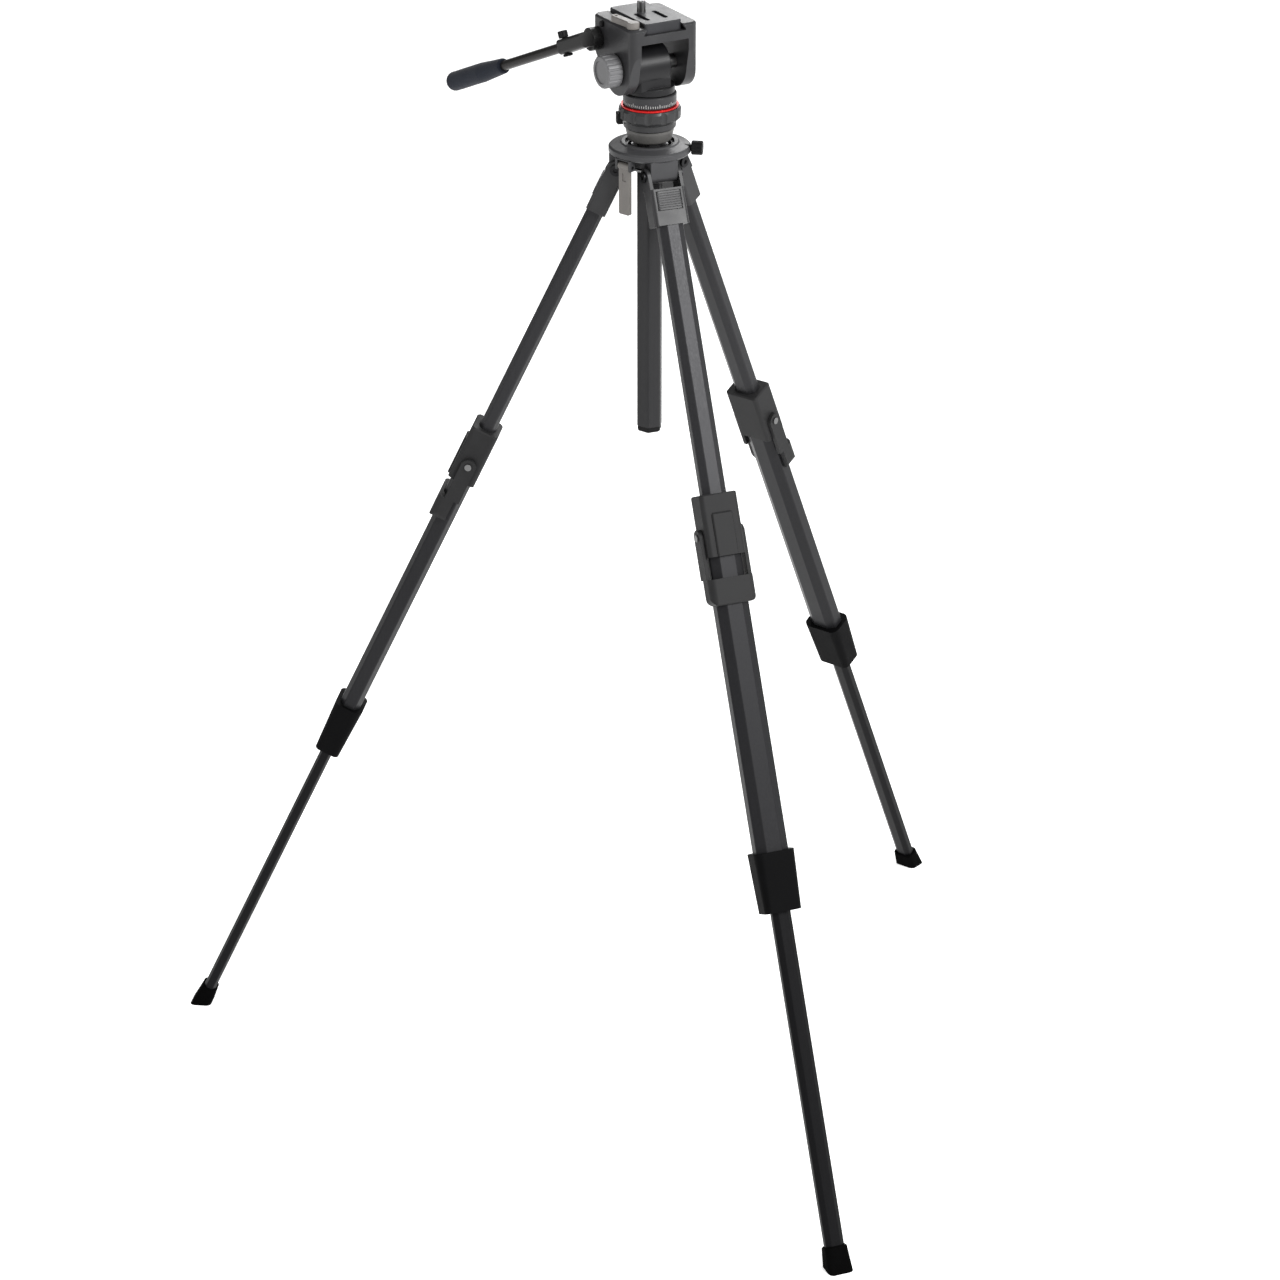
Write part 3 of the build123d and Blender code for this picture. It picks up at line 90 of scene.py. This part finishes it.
class Nodes:
    """A material's node tree, with short calls for the nodes used here."""

    def __init__(self, name, rough, metallic=0.0, specular=0.3, coat=0.0):
        self.material = bpy.data.materials.new(name)
        self.material.use_nodes = True
        self.tree = self.material.node_tree
        self.shader = self.tree.nodes["Principled BSDF"]
        self.shader.inputs["Metallic"].default_value = metallic
        self.shader.inputs["Specular IOR Level"].default_value = specular
        self.shader.inputs["Coat Weight"].default_value = coat
        self.shader.inputs["Roughness"].default_value = rough
        self.coordinates = self.add("ShaderNodeTexCoord").outputs["Object"]

    def add(self, kind, **settings):
        node = self.tree.nodes.new(kind)
        for key, value in settings.items():
            setattr(node, key, value)
        return node

    def link(self, source, target):
        self.tree.links.new(source, target)

    def scaled(self, scale):
        mapping = self.add("ShaderNodeMapping")
        mapping.inputs["Scale"].default_value = scale
        self.link(self.coordinates, mapping.inputs["Vector"])
        return mapping.outputs["Vector"]

    def noise(self, scale, detail=3.0, vector=None, rough=0.5):
        node = self.add("ShaderNodeTexNoise")
        node.inputs["Scale"].default_value = scale
        node.inputs["Detail"].default_value = detail
        node.inputs["Roughness"].default_value = rough
        self.link(vector or self.coordinates, node.inputs["Vector"])
        return node.outputs["Fac"]

    def spread(self, value, low, high, from_low=0.3, from_high=0.7):
        node = self.add("ShaderNodeMapRange")
        node.inputs["From Min"].default_value = from_low
        node.inputs["From Max"].default_value = from_high
        node.inputs["To Min"].default_value = low
        node.inputs["To Max"].default_value = high
        self.link(value, node.inputs["Value"])
        return node.outputs["Result"]

    def math(self, operation, first, second):
        node = self.add("ShaderNodeMath", operation=operation)
        for socket, value in zip(node.inputs, (first, second)):
            if isinstance(value, (int, float)):
                socket.default_value = value
            else:
                self.link(value, socket)
        return node.outputs["Value"]

    def mix(self, factor, first, second):
        node = self.add("ShaderNodeMix", data_type="RGBA")
        self.link(factor, node.inputs["Factor"])
        for socket, value in ((node.inputs["A"], first), (node.inputs["B"], second)):
            if isinstance(value, tuple):
                socket.default_value = (*value, 1.0)
            else:
                self.link(value, socket)
        return node.outputs["Result"]

    def rounded_normal(self, radius):
        """Edges look rounded by this radius."""
        node = self.add("ShaderNodeBevel", samples=BEVEL_SAMPLES)
        node.inputs["Radius"].default_value = radius
        return node.outputs["Normal"]

    def edge_mask(self, radius):
        """1 on convex and concave edges, 0 on flats."""
        bevel = self.rounded_normal(radius)
        true = self.add("ShaderNodeNewGeometry").outputs["Normal"]
        dot = self.add("ShaderNodeVectorMath", operation="DOT_PRODUCT")
        self.link(bevel, dot.inputs[0])
        self.link(true, dot.inputs[1])
        return self.spread(dot.outputs["Value"], 1.0, 0.0, *EDGE_DOT)

    def bump(self, heights, strength, distance, normal=None):
        node = self.add("ShaderNodeBump")
        node.inputs["Strength"].default_value = strength
        node.inputs["Distance"].default_value = distance
        self.link(heights, node.inputs["Height"])
        if normal is not None:
            self.link(normal, node.inputs["Normal"])
        return node.outputs["Normal"]

    def finish(self, color, rough, normal):
        self.link(color, self.shader.inputs["Base Color"])
        self.link(rough, self.shader.inputs["Roughness"])
        self.link(normal, self.shader.inputs["Normal"])
        return self.material


def tint(color, factor):
    """The colour made lighter or darker."""
    return tuple(min(1.0, c * factor) for c in color)


def mottle(m, color, value, depth):
    """The colour drifting by a share up and down with the value."""
    return m.mix(m.spread(value, 0.0, 1.0), tint(color, 1 - depth), tint(color, 1 + depth))


# ---------------------------------------------------------------- materials
# Texture scales are cells per metre, bump distances and edge radii are metres.
PAINT_GRAIN = 1400.0
PAINT_BUMP = (0.16, 0.00012)      # strength and distance
PAINT_EDGE = 0.0006
SMUDGE = 28.0
# noise that breaks up the lighter cast-paint edges, which are partly wear and partly painted highlight
EDGE_BREAKUP = 160.0
TUBE_LINES = (9.0, 9.0, 0.08)     # draw lines are stretched along the tripod's height
TUBE_LINE_SCALE = 90.0
TUBE_GRAIN = 2600.0
TUBE_BUMP = (0.10, 0.0001)
TUBE_EDGE = 0.0005
TUBE_DRIFT = 6.0
MOULD_GRAIN = 1700.0
MOULD_BUMP = (0.3, 0.00018)
MOULD_EDGE = 0.0005
# how much lighter moulded edges are: partly wear, partly painted highlight
MOULD_EDGE_WEAR_AND_HIGHLIGHT = 0.55
MOULD_PATCH = 35.0
TOOL_MARKS = (0.2, 0.2, 3.0)
TOOL_MARK_SCALE = 900.0
TURNED_BUMP = (0.12, 0.0001)
TURNED_EDGE = 0.0004
TURNED_PATCH = 60.0
RUBBER_PEBBLE = 700.0
RUBBER_BUMP = (0.5, 0.0004)
RUBBER_EDGE = 0.001
RUBBER_DUST = 55.0
FOAM_CELLS = 900.0
FOAM_BUMP = (0.35, 0.0004)
FOAM_RUB = 30.0
VIAL_GREENS = ((0.35, 0.62, 0.10), (0.45, 0.72, 0.16))
VIAL_DRIFT = 80.0
VIAL_EDGE = 0.0003


def cast_paint(name, color, rough=0.42, metallic=0.0, wear_and_highlight=1.9, specular=0.3):
    """Satin paint over a die casting: fine orange-peel grain, faint smudges, edges lighter: partly rubbed
    wear, partly painted highlight.
    """
    m = Nodes(name, rough, metallic=metallic, specular=specular)
    smudge = m.noise(SMUDGE, 4.0)
    mottled = mottle(m, color, smudge, 0.14)
    # edges painted lighter: partly rubbed wear, partly painted highlight
    wear_and_highlight_mask = m.math("MULTIPLY", m.edge_mask(PAINT_EDGE), m.spread(m.noise(EDGE_BREAKUP, 4.0), 0.15, 0.75))
    final = m.mix(wear_and_highlight_mask, mottled, tint(color, wear_and_highlight))
    normal = m.bump(m.noise(PAINT_GRAIN, 2.0), *PAINT_BUMP, m.rounded_normal(PAINT_EDGE))
    return m.finish(final, m.spread(smudge, rough - 0.05, rough + 0.07), normal)


def anodised(name, color, rough=0.36, metallic=0.25, specular=0.2):
    """Drawn aluminium tube, anodised: long faint draw lines, slow colour drift."""
    m = Nodes(name, rough, metallic=metallic, specular=specular)
    lines = m.noise(TUBE_LINE_SCALE, 3.0, m.scaled(TUBE_LINES))
    base = mottle(m, color, lines, 0.10)
    final = m.mix(m.spread(m.noise(TUBE_DRIFT, 2.0), 0.0, 0.35), base, tint(color, 1.25))
    half_lines = m.math("MULTIPLY", lines, 0.5)
    half_grain = m.math("MULTIPLY", m.noise(TUBE_GRAIN, 2.0), 0.5)
    normal = m.bump(m.math("ADD", half_lines, half_grain), *TUBE_BUMP, m.rounded_normal(TUBE_EDGE))
    return m.finish(final, m.spread(lines, rough - 0.04, rough + 0.06), normal)


def moulded(name, color, rough=0.55, specular=0.22):
    """Moulded plastic: spark-eroded grain, edges painted lighter: partly wear, partly painted highlight."""
    m = Nodes(name, rough, specular=specular)
    patch = m.noise(MOULD_PATCH, 3.0)
    base = mottle(m, color, patch, 0.15)
    # edges painted lighter: partly wear, partly painted highlight
    worn = m.math("MULTIPLY", m.edge_mask(MOULD_EDGE), MOULD_EDGE_WEAR_AND_HIGHLIGHT)
    final = m.mix(worn, base, tint(color, 1.6))
    normal = m.bump(m.noise(MOULD_GRAIN, 2.0, rough=0.7), *MOULD_BUMP, m.rounded_normal(MOULD_EDGE))
    return m.finish(final, m.spread(patch, rough - 0.05, rough + 0.06), normal)


def turned(name, color, rough=0.28, metallic=1.0):
    """Machined metal with fine tool marks."""
    m = Nodes(name, rough, metallic=metallic)
    marks = m.noise(TOOL_MARK_SCALE, 2.0, m.scaled(TOOL_MARKS))
    patch = m.noise(TURNED_PATCH, 3.0)
    final = m.mix(m.spread(patch, 0.0, 1.0), tint(color, 0.88), tint(color, 1.10))
    normal = m.bump(marks, *TURNED_BUMP, m.rounded_normal(TURNED_EDGE))
    return m.finish(final, m.spread(marks, rough - 0.06, rough + 0.10), normal)


def rubber(name, color):
    """Matte rubber: dusty, pebbled, greyer where it scuffs the floor."""
    m = Nodes(name, 0.8, specular=0.02)
    dust = m.noise(RUBBER_DUST, 5.0)
    scuffed = m.mix(m.spread(dust, 0.0, 0.5, 0.45, 0.8), color, tint(color, 4.0))
    normal = m.bump(m.noise(RUBBER_PEBBLE, 3.0, rough=0.7), *RUBBER_BUMP, m.rounded_normal(RUBBER_EDGE))
    return m.finish(scuffed, m.spread(dust, 0.72, 0.9), normal)


def foam(name, color):
    """Closed-cell foam: tiny open pores, soft sheen, paler where hands rub it."""
    m = Nodes(name, 0.85, specular=0.12)
    m.shader.inputs["Sheen Weight"].default_value = 0.10
    m.shader.inputs["Sheen Roughness"].default_value = 0.5
    cells = m.add("ShaderNodeTexVoronoi", feature="F1")
    cells.inputs["Scale"].default_value = FOAM_CELLS
    m.link(m.coordinates, cells.inputs["Vector"])
    rub = m.noise(FOAM_RUB, 4.0)
    base = m.mix(m.spread(rub, 0.0, 1.0), tint(color, 0.86), tint(color, 1.16))
    pores = m.spread(cells.outputs["Distance"], 0.0, 1.0, 0.15, 0.5)
    final = m.mix(pores, base, tint(color, 0.72))
    return m.finish(final, m.spread(rub, 0.78, 0.92), m.bump(cells.outputs["Distance"], *FOAM_BUMP))


def vial(name):
    """Green liquid behind clear plastic."""
    m = Nodes(name, 0.08, specular=0.6, coat=0.6)
    drift = m.noise(VIAL_DRIFT, 1.0)
    color = m.mix(m.spread(drift, 0.0, 1.0), *VIAL_GREENS)
    return m.finish(color, m.spread(drift, 0.05, 0.12), m.rounded_normal(VIAL_EDGE))


MATERIALS = {
    "hub_paint": cast_paint("hub_paint", (0.036, 0.036, 0.038), rough=0.40, specular=0.25),
    "leg_bracket_paint": cast_paint("leg_bracket_paint", (0.022, 0.022, 0.023), rough=0.38, specular=0.22),
    "fastener_steel": turned("fastener_steel", (0.16, 0.16, 0.16), rough=0.34),
    "fastener_black": turned("fastener_black", (0.020, 0.020, 0.021), rough=0.38),
    "vial": vial("vial"),
    "upper_tube": anodised("upper_tube", (0.019, 0.019, 0.0205), metallic=0.25, specular=0.15),
    "mid_tube": anodised("mid_tube", (0.013, 0.013, 0.0142), metallic=0.25, specular=0.12),
    "lower_tube": anodised("lower_tube", (0.0045, 0.0045, 0.005), metallic=0.15, specular=0.08),
    "column_tube": anodised("column_tube", (0.018, 0.018, 0.019), metallic=0.25, specular=0.2),
    "black_plastic": moulded("black_plastic", (0.005, 0.005, 0.0053), specular=0.12),
    "clamp_plastic": moulded("clamp_plastic", (0.016, 0.016, 0.0165), specular=0.13),
    "collar_plastic": moulded("collar_plastic", (0.0022, 0.0022, 0.0024), specular=0.035),
    "foot_rubber": rubber("foot_rubber", (0.0010, 0.0010, 0.0010)),
    "lever_metal": cast_paint("lever_metal", (0.138, 0.129, 0.120), rough=0.42, wear_and_highlight=1.3),
    "ball_metal": turned("ball_metal", (0.07, 0.07, 0.072), rough=0.34),
    "bowl_metal": cast_paint("bowl_metal", (0.070, 0.068, 0.065), rough=0.38, metallic=0.2),
    "ring_metal": cast_paint("ring_metal", (0.022, 0.022, 0.023), rough=0.34, specular=0.25),
    "red_ring": turned("red_ring", (0.45, 0.008, 0.008), rough=0.26, metallic=0.5),
    "head_paint": cast_paint("head_paint", (0.022, 0.022, 0.0235), rough=0.36, specular=0.25),
    "housing_paint": cast_paint("housing_paint", (0.008, 0.008, 0.0088), rough=0.34, specular=0.2),
    "knob_metal": cast_paint("knob_metal", (0.105, 0.105, 0.108), rough=0.36),
    "plate_metal": cast_paint("plate_metal", (0.024, 0.0245, 0.027), rough=0.36, metallic=0.1, specular=0.2),
    "bracket_metal": cast_paint("bracket_metal", (0.010, 0.010, 0.010), rough=0.38, specular=0.2),
    "bar_metal": anodised("bar_metal", (0.008, 0.007, 0.0065), rough=0.30, metallic=0.2, specular=0.2),
    "grip_foam": foam("grip_foam", (0.011, 0.0145, 0.0235)),
    "tick_ink": moulded("tick_ink", (0.42, 0.42, 0.41), rough=0.6),
}

SLOTS = {part["node"]: part["material_slot"] for part in frame["record"]["subparts"]}
for node_name, slot_name in SLOTS.items():
    frame_mesh = frame["nodes"][node_name].data
    frame_mesh.materials.clear()
    frame_mesh.materials.append(MATERIALS[slot_name])


# ---------------------------------------------------------------- detailed pieces
def corners(node):
    """A CAD node's vertices as rows of a table."""
    mesh = frame["nodes"][node].data
    places = numpy.empty(3 * len(mesh.vertices))
    mesh.vertices.foreach_get("co", places)
    return places.reshape(-1, 3)


def axis_of(node):
    """Middle and direction of a long round node."""
    places = corners(node)
    middle = (places.min(axis=0) + places.max(axis=0)) / 2
    direction = numpy.linalg.svd(places - places.mean(axis=0), full_matrices=False)[2][0]
    return Vector(middle), Vector(direction)


def add_piece(name, verts, faces, material, body, node=None, smooth=True):
    """A mesh that rides on a body, and stands for a CAD node if one is named."""
    mesh = bpy.data.meshes.new(name)
    mesh.from_pydata(verts, [], faces)
    mesh.materials.append(material)
    for face in mesh.polygons:
        face.use_smooth = smooth
    piece = bpy.data.objects.new(name, mesh)
    bpy.context.collection.objects.link(piece)
    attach(piece, body)
    if node:
        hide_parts(node)
    return piece


def turned_faces(rings, sides):
    """Quads between closed rings of vertices that follow one another."""
    faces = []
    for ring in range(rings - 1):
        for side in range(sides):
            here, there = ring * sides + side, ring * sides + (side + 1) % sides
            faces.append((here, there, there + sides, here + sides))
    return faces


GRIP_SIDES = 96
GRIP_ROWS = 220
GRIP_SHRINK = 0.00022         # room for the foam's unevenness
GRIP_LUMPS = 0.00016
GRIP_PITS = 0.00006
GRIP_LUMP_SCALE = 60.0
GRIP_PIT_SCALE = 900.0
GRIP_CROWDING = 1.6           # rows lie closer towards the nose
GRIP_TIP = 0.0002             # least radius of a row
FRONT_EDGE = 0.0005           # how far in the grip's front face reaches
BAR_CLEARANCE = 0.0001
FOAM_THINNEST = 0.0013        # foam over the bar at the grip's bevelled front
NOSE_LENGTH = 0.0081


def make_grip():
    """Foam grip: the CAD sleeve's own profile with gentle lumps and tiny pits."""
    middle, direction = axis_of("pan_bar_tube")
    places = corners("pan_bar_grip")
    if (Vector(places.mean(axis=0)) - middle).dot(direction) < 0:
        direction = -direction
    offsets = places - numpy.array(middle)
    along = offsets @ numpy.array(direction)
    radius = numpy.linalg.norm(offsets - numpy.outer(along, direction), axis=1)
    bar = radius[along < along.min() + FRONT_EDGE].min() + BAR_CLEARANCE
    profile = {}
    outside = (radius > bar + FOAM_THINNEST) | (along > along.max() - NOSE_LENGTH)
    for place, size in zip(along[outside].round(5), radius[outside]):
        profile[place] = max(profile.get(place, 0.0), size)
    stops = sorted(profile)
    sizes = [profile[stop] for stop in stops]
    across = direction.orthogonal().normalized()
    other = direction.cross(across)
    low, high = along.min(), along.max()
    rings = [(low, bar)]
    for row in range(GRIP_ROWS + 1):
        share = row / GRIP_ROWS
        place = low + (high - low) * (1 - (1 - share) ** GRIP_CROWDING)
        rings.append((place, max(float(numpy.interp(place, stops, sizes)) - GRIP_SHRINK, GRIP_TIP)))
    verts = []
    for place, size in rings:
        for side in range(GRIP_SIDES):
            turn = 2 * pi * side / GRIP_SIDES
            normal = across * cos(turn) + other * sin(turn)
            spot = middle + direction * place + normal * size
            lump = noise.noise(spot * GRIP_LUMP_SCALE) * GRIP_LUMPS
            lump += noise.noise(spot * GRIP_PIT_SCALE) * GRIP_PITS
            verts.append(spot + normal * (lump if size > bar + GRIP_SHRINK else 0.0))
    faces = turned_faces(len(rings), GRIP_SIDES)
    last = (len(rings) - 1) * GRIP_SIDES
    faces.append(tuple(last + side for side in range(GRIP_SIDES)))
    material = MATERIALS["grip_foam"]
    return add_piece("foam_grip", verts, faces, material, "pan_bar", "pan_bar_grip")


TICK_COUNT = 72
TICK_SIZE = (0.0003, 0.0026)      # half width and height of a short tick
TICK_LONG = 0.0042                # height of every sixth tick
TICK_EVERY = 6                    # a tall tick every so many
TICK_PROUD = 0.00006
TICK_SUNK = 0.00015               # from a tick's face to its back, inside the neck
TICK_FOOT = 0.0022                # over the neck's lower edge
NECK_HEIGHT = 0.0137              # of the neck's round face
BOX_FACES = ((0, 1, 2, 3), (7, 6, 5, 4), (0, 4, 5, 1), (1, 5, 6, 2), (2, 6, 7, 3), (3, 7, 4, 0))


def ring_ticks(name, node, body):
    """Plain graduation ticks printed round a round node."""
    places = corners(node)
    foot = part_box(node)[1][2] - NECK_HEIGHT + TICK_FOOT
    radius = max(numpy.hypot(places[:, 0] - column.x, places[:, 1] - column.y)) + TICK_PROUD
    verts, faces = [], []
    for tick in range(TICK_COUNT):
        turn = 2 * pi * tick / TICK_COUNT
        outward, sideways = Vector((cos(turn), sin(turn), 0)), Vector((-sin(turn), cos(turn), 0))
        tall = TICK_LONG if tick % TICK_EVERY == 0 else TICK_SIZE[1]
        spot = Vector((column.x, column.y, foot)) + outward * radius
        first = len(verts)
        for depth in (0.0, -TICK_SUNK):
            for side, rise in ((-1, 0), (1, 0), (1, tall), (-1, tall)):
                across = sideways * side * TICK_SIZE[0]
                verts.append(spot + outward * depth + across + Vector((0, 0, rise)))
        faces += [tuple(first + corner for corner in face) for face in BOX_FACES]
    return add_piece(name, verts, faces, MATERIALS["tick_ink"], body, smooth=False)


# ---------------------------------------------------------------- studio
AIM_HEIGHT = 0.75             # lights point at the tripod's middle
CAMERA_SIDE = radians(CAMERA_HEADING)
RIGHT = Vector((cos(CAMERA_SIDE), sin(CAMERA_SIDE), 0.0))
NEAR = Vector((sin(CAMERA_SIDE), -cos(CAMERA_SIDE), 0.0))


def area_light(name, right, near, height, size, power):
    """Soft light placed to the right of, nearer than and over the tripod, as the camera sees it."""
    data = bpy.data.lights.new(name, "AREA")
    data.shape = "RECTANGLE"
    data.size, data.size_y = size
    data.energy = power
    light = bpy.data.objects.new(name, data)
    bpy.context.collection.objects.link(light)
    light.location = RIGHT * right + NEAR * near + Vector((0, 0, height))
    aim = Vector((0.0, 0.0, AIM_HEIGHT)) - light.location
    light.rotation_euler = aim.to_track_quat("-Z", "Y").to_euler()


FLOOR_GLOW = 0.42
FLOOR_HALF = 14.0
FLOOR_GREYS = ((0.86, 0.86, 0.86), (0.90, 0.90, 0.90))


def make_floor():
    """Plain pale floor, large enough to fill the view."""
    mesh = bpy.data.meshes.new("floor")
    corners_round = [(x * FLOOR_HALF, y * FLOOR_HALF, 0) for x, y in ((-1, -1), (1, -1), (1, 1), (-1, 1))]
    mesh.from_pydata(corners_round, [], [(0, 1, 2, 3)])
    floor = bpy.data.objects.new("floor", mesh)
    bpy.context.collection.objects.link(floor)
    m = Nodes("floor", 0.6, specular=0.2)
    m.shader.inputs["Emission Color"].default_value = (1.0, 1.0, 1.0, 1.0)
    m.shader.inputs["Emission Strength"].default_value = FLOOR_GLOW
    cloud = m.noise(0.8, 2.0)
    color = m.mix(m.spread(cloud, 0.0, 1.0), *FLOOR_GREYS)
    mesh.materials.append(m.finish(color, m.spread(cloud, 0.55, 0.65), m.bump(cloud, 0.02, 0.001)))


SKY_DARK = 0.22
SKY_BRIGHT = 1.15
SKY_TOP = 0.55                # how far the bright side leans overhead
SKY_NEAR = 0.45               # how far it leans towards the camera
SKY_SPAN = (-0.5, 0.9)        # turn from the bright side, as a cosine, from dim to bright


def make_sky():
    """Soft surroundings: bright to the camera's right and overhead, dim to its left."""
    world = bpy.data.worlds.new("studio")
    world.use_nodes = True
    tree = world.node_tree
    toward = tree.nodes.new("ShaderNodeTexCoord").outputs["Generated"]
    dot = tree.nodes.new("ShaderNodeVectorMath")
    dot.operation = "DOT_PRODUCT"
    dot.inputs[1].default_value = (RIGHT + NEAR * SKY_NEAR + Vector((0, 0, SKY_TOP))).normalized()
    ramp = tree.nodes.new("ShaderNodeMapRange")
    ramp.inputs["From Min"].default_value, ramp.inputs["From Max"].default_value = SKY_SPAN
    ramp.inputs["To Min"].default_value = SKY_DARK
    ramp.inputs["To Max"].default_value = SKY_BRIGHT
    background = tree.nodes["Background"]
    background.inputs["Color"].default_value = (1.0, 1.0, 1.0, 1.0)
    tree.links.new(toward, dot.inputs[0])
    tree.links.new(dot.outputs["Value"], ramp.inputs["Value"])
    tree.links.new(ramp.outputs["Result"], background.inputs["Strength"])
    bpy.context.scene.world = world


def make_studio():
    make_floor()
    make_sky()
    area_light("key", 2.4, 2.0, 2.9, (1.2, 1.2), 150.0)
    area_light("strip", -2.6, 0.6, 1.6, (0.35, 2.2), 22.0)
    area_light("back", 0.6, -3.0, 2.8, (2.0, 1.0), 60.0)
    bpy.context.scene.view_settings.view_transform = "Standard"


make_grip()
ring_ticks("neck_ticks", "head_neck", "column")
make_studio()
